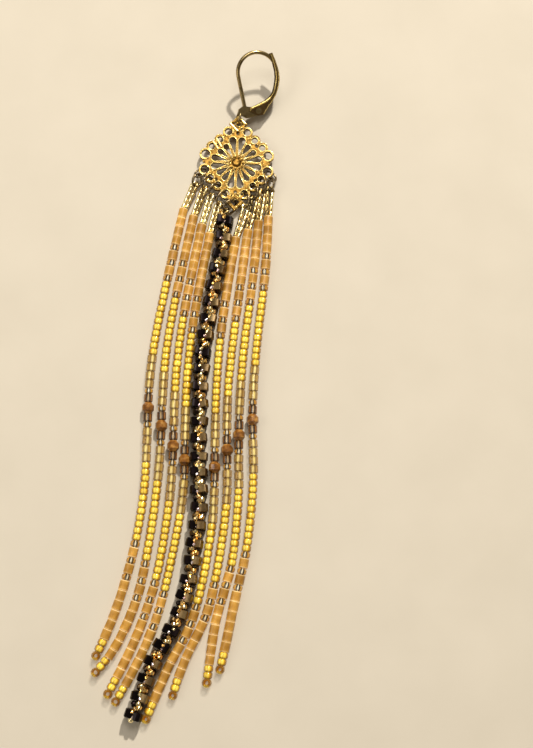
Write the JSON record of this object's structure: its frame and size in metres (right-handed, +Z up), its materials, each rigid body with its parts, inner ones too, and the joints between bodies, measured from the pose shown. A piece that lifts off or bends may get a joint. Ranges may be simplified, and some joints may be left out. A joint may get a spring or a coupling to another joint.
{
  "type": "beaded earring",
  "caption": "Long earring laid flat: leverback ear wire, pierced filigree plate, strings of seed beads and a thick rope of metallic cubes.",
  "frame": {"origin": "middle of the base of the laid-out earring, on the surface that it lies on", "axes": "+Y runs along the strings towards the ear wire, +Z points up from the surface, +X across the strings"},
  "size_m": [0.0406, 0.1504, 0.0077],
  "materials": {
    "filigree_gold": "polished with dark recesses",
    "antique_brass": "antiqued",
    "dark_bronze": "dark satin",
    "yellow_glass": "silver-lined, glossy",
    "copper_glass": "faceted, glossy",
    "metallic_cubes": "metallic",
    "thread": "waxed"
  },
  "bodies": {
    "earring": {"copper_bead_1": "copper_glass", "copper_bead_2": "copper_glass", "copper_bead_3": "copper_glass", "copper_bead_4": "copper_glass", "copper_bead_5": "copper_glass", "copper_bead_6": "copper_glass", "copper_bead_7": "copper_glass", "copper_bead_8": "copper_glass", "ear_wire": "antique_brass", "filigree": "filigree_gold", "jump_ring_1": "dark_bronze", "jump_ring_2": "dark_bronze", "jump_ring_3": "dark_bronze", "jump_ring_4": "dark_bronze", "jump_ring_5": "dark_bronze", "jump_ring_6": "dark_bronze", "jump_ring_7": "dark_bronze", "jump_ring_8": "dark_bronze", "lever_rivet": "antique_brass", "link_ring_1": "dark_bronze", "link_ring_8": "dark_bronze", "rope": "metallic_cubes", "rope_ring": "dark_bronze", "string_1": "yellow_glass", "string_2": "yellow_glass", "string_3": "yellow_glass", "string_4": "yellow_glass", "string_5": "yellow_glass", "string_6": "yellow_glass", "string_7": "yellow_glass", "string_8": "yellow_glass", "thread_1": "thread", "thread_2": "thread", "thread_3": "thread", "thread_4": "thread", "thread_5": "thread", "thread_6": "thread", "thread_7": "thread", "thread_8": "thread"},
    "lever": {"lever": "antique_brass"}
  },
  "joints": [
    {"name": "lever_hinge", "type": "hinge", "parent": "earring", "child": "lever", "pos_m": [0.01523, 0.06234, 0.00223], "axis": [-0.2268, 0.3539, -0.9074], "range_deg": [0, 40]}
  ]
}
